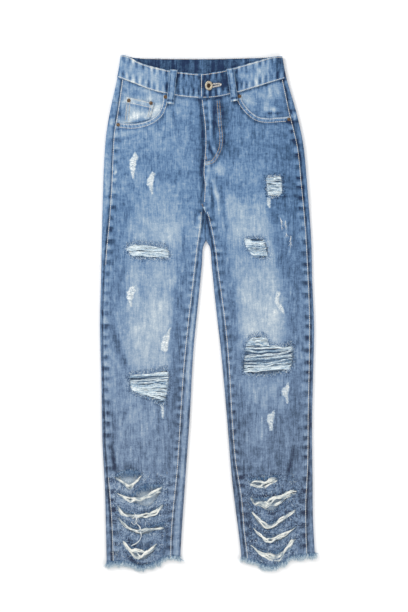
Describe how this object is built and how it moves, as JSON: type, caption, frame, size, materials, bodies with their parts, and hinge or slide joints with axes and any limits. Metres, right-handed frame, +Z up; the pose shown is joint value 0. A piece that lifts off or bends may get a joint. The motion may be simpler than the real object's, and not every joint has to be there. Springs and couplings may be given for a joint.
{
  "type": "ripped high-waist jeans laid flat",
  "caption": "Light-washed high-waist ankle jeans with ripped thighs and knees, slashed shins and raw frayed hems, buttoned and laid flat with the front up.",
  "frame": {"origin": "centre of the base of the bounding box, on the surface that the jeans lie on", "axes": "+Z up out of the front of the jeans, +Y along their length towards the waistband, +X towards the wearer's left side"},
  "size_m": [0.4165, 0.9994, 0.0123],
  "materials": {
    "washed_denim": "stone-washed cotton twill, matt",
    "faded_denim": "bleached cotton twill, matt",
    "dark_denim": "unfaded cotton twill, matt",
    "white_weft": "loose undyed cotton yarn",
    "aged_brass": "pressed brass, worn satin",
    "aged_copper": "pressed copper alloy, antique brown"
  },
  "bodies": {
    "root": {"front_right": "washed_denim", "front_left": "washed_denim", "back_right": "washed_denim", "back_left": "washed_denim", "yoke_right": "washed_denim", "yoke_left": "washed_denim", "waistband": "washed_denim", "pocket_facing_right": "faded_denim", "pocket_facing_left": "faded_denim", "coin_pocket": "faded_denim", "belt_loop_front_right": "washed_denim", "belt_loop_front_left": "washed_denim", "belt_loop_back_right": "dark_denim", "belt_loop_back_centre": "dark_denim", "belt_loop_back_left": "dark_denim", "back_pocket_right": "washed_denim", "back_pocket_left": "washed_denim", "hem_fringe_right": "white_weft", "hem_fringe_left": "white_weft", "rip_hip_left_threads": "white_weft", "rip_thigh_right_threads": "white_weft", "rip_thigh_left_threads": "white_weft", "rip_knee_right_threads": "white_weft", "rip_knee_left_threads": "white_weft", "slash_right_1_threads": "white_weft", "slash_right_2_threads": "white_weft", "slash_right_3_threads": "white_weft", "slash_right_4_threads": "white_weft", "slash_right_5_threads": "white_weft", "slash_left_1_threads": "white_weft", "slash_left_2_threads": "white_weft", "slash_left_3_threads": "white_weft", "slash_left_4_threads": "white_weft", "slash_left_5_threads": "white_weft", "rivet_coin_outer": "aged_copper", "rivet_coin_inner": "aged_copper", "rivet_mouth_right_top": "aged_copper", "rivet_mouth_right_side": "aged_copper", "rivet_mouth_left_top": "aged_copper", "rivet_mouth_left_side": "aged_copper", "button": "aged_brass"}
  },
  "joints": []
}
